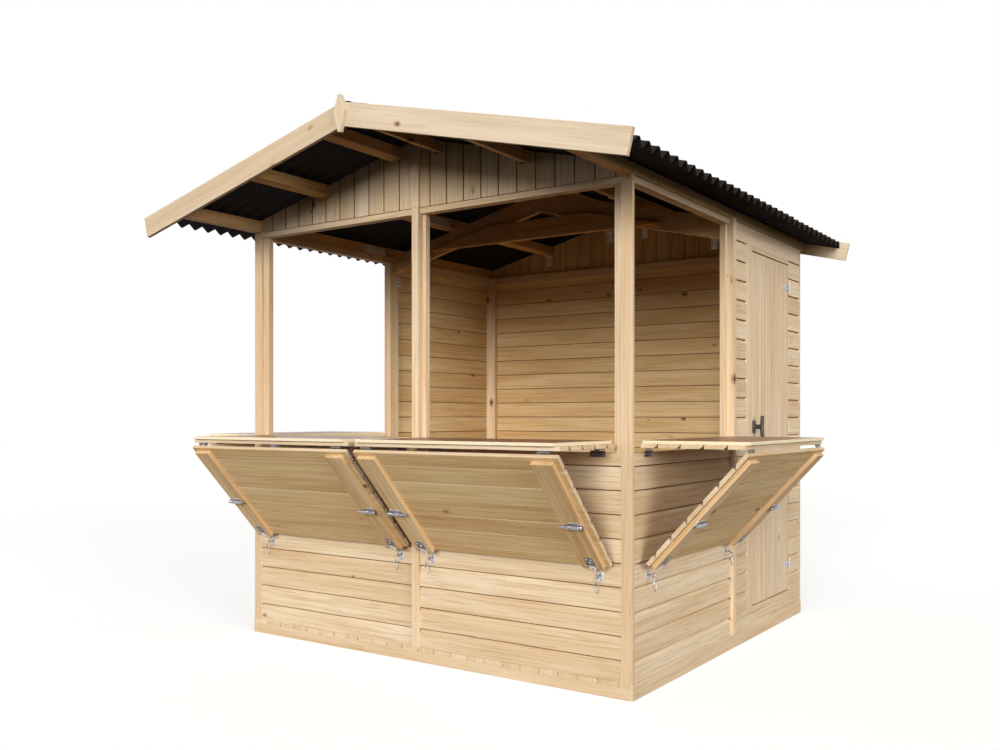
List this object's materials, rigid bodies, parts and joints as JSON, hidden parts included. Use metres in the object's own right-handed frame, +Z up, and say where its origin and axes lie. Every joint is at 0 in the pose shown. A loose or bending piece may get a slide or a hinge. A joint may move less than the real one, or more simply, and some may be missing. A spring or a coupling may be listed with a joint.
{
  "type": "wooden market stall",
  "caption": "Boarded wooden market stall with gabled corrugated roof, side door and open serving bays whose hinged counters and folding shutters close them.",
  "frame": {"origin": "centre of the floor's footprint, on the ground", "axes": "+X to the right seen from the front, +Y towards the back wall, +Z up"},
  "size_m": [2.8906, 2.568, 2.298],
  "materials": {
    "spruce": "planed, untreated",
    "worktop": "smooth film-faced board",
    "roofing": "matt corrugated bitumen sheet",
    "zinc_steel": "zinc plated",
    "black_metal": "dark matt"
  },
  "bodies": {
    "stall": {"back_gable": "spruce", "back_wall": "spruce", "bargeboards": "spruce", "bay_packers": "spruce", "bay_trims": "spruce", "corner_boards": "spruce", "cover_strips": "spruce", "door_casing": "spruce", "door_wall_over_under": "spruce", "door_wall_sides": "spruce", "finials": "spruce", "floor_bearers": "spruce", "floor_deck": "spruce", "floor_fascias": "spruce", "front_gable": "spruce", "front_wall": "spruce", "left_wall_back": "spruce", "purlins": "spruce", "rafter_left": "spruce", "rafter_right": "spruce", "ridge_cap": "roofing", "roof_sheet_left": "roofing", "roof_sheet_right": "roofing", "side_low_walls": "spruce", "snap_hooks": "zinc_steel", "tie_beam": "spruce", "wall_fittings": "zinc_steel", "wall_rails": "spruce", "wall_studs": "spruce"},
    "door": {"door_leaf": "spruce", "door_ledges": "spruce", "door_hinge_straps": "zinc_steel", "door_rose": "black_metal"},
    "door_grip": {"door_handle": "black_metal"},
    "counter_front_right": {"counter_front_right": "spruce", "worktop_front_right": "worktop", "hinges_front_right": "zinc_steel"},
    "shutter_front_right": {"shutter_front_right": "spruce", "battens_front_right": "spruce", "bolts_front_right": "zinc_steel"},
    "counter_front_left": {"counter_front_left": "spruce", "worktop_front_left": "worktop", "hinges_front_left": "zinc_steel"},
    "shutter_front_left": {"shutter_front_left": "spruce", "battens_front_left": "spruce", "bolts_front_left": "zinc_steel"},
    "counter_right_side": {"counter_right_side": "spruce", "worktop_right_side": "worktop", "hinges_right_side": "zinc_steel"},
    "shutter_right_side": {"shutter_right_side": "spruce", "battens_right_side": "spruce", "bolts_right_side": "zinc_steel"},
    "counter_left_side": {"counter_left_side": "spruce", "worktop_left_side": "worktop", "hinges_left_side": "zinc_steel"},
    "shutter_left_side": {"shutter_left_side": "spruce", "battens_left_side": "spruce", "bolts_left_side": "zinc_steel"}
  },
  "joints": [
    {"name": "door_hinge", "type": "hinge", "parent": "stall", "child": "door", "pos_m": [1.027, 0.7885, 1], "axis": [0, 0, 1], "range_deg": [0, 160]},
    {"name": "door_grip_turn", "type": "hinge", "parent": "door", "child": "door_grip", "pos_m": [1.045, 0.277, 1], "axis": [1, 0, 0], "range_deg": [0, 90]},
    {"name": "counter_front_right_hinge", "type": "hinge", "parent": "stall", "child": "counter_front_right", "pos_m": [0.4875, -0.9905, 0.928], "axis": [-1, 0, 0], "range_deg": [0, 90]},
    {"name": "shutter_front_right_fold", "type": "hinge", "parent": "counter_front_right", "child": "shutter_front_right", "pos_m": [0.4875, -1.394, 0.927], "axis": [-1, 0, 0], "range_deg": [0, 132.56]},
    {"name": "counter_front_left_hinge", "type": "hinge", "parent": "stall", "child": "counter_front_left", "pos_m": [-0.4875, -0.9905, 0.928], "axis": [-1, 0, 0], "range_deg": [0, 90]},
    {"name": "shutter_front_left_fold", "type": "hinge", "parent": "counter_front_left", "child": "shutter_front_left", "pos_m": [-0.4875, -1.394, 0.927], "axis": [-1, 0, 0], "range_deg": [0, 132.56]},
    {"name": "counter_right_side_hinge", "type": "hinge", "parent": "stall", "child": "counter_right_side", "pos_m": [1.028, -0.47675, 0.928], "axis": [0, -1, 0], "range_deg": [0, 90]},
    {"name": "shutter_right_side_fold", "type": "hinge", "parent": "counter_right_side", "child": "shutter_right_side", "pos_m": [1.4315, -0.47675, 0.927], "axis": [0, -1, 0], "range_deg": [0, 132.56]},
    {"name": "counter_left_side_hinge", "type": "hinge", "parent": "stall", "child": "counter_left_side", "pos_m": [-1.028, -0.47675, 0.928], "axis": [0, 1, 0], "range_deg": [0, 90]},
    {"name": "shutter_left_side_fold", "type": "hinge", "parent": "counter_left_side", "child": "shutter_left_side", "pos_m": [-1.4315, -0.47675, 0.927], "axis": [0, 1, 0], "range_deg": [0, 132.56]}
  ]
}
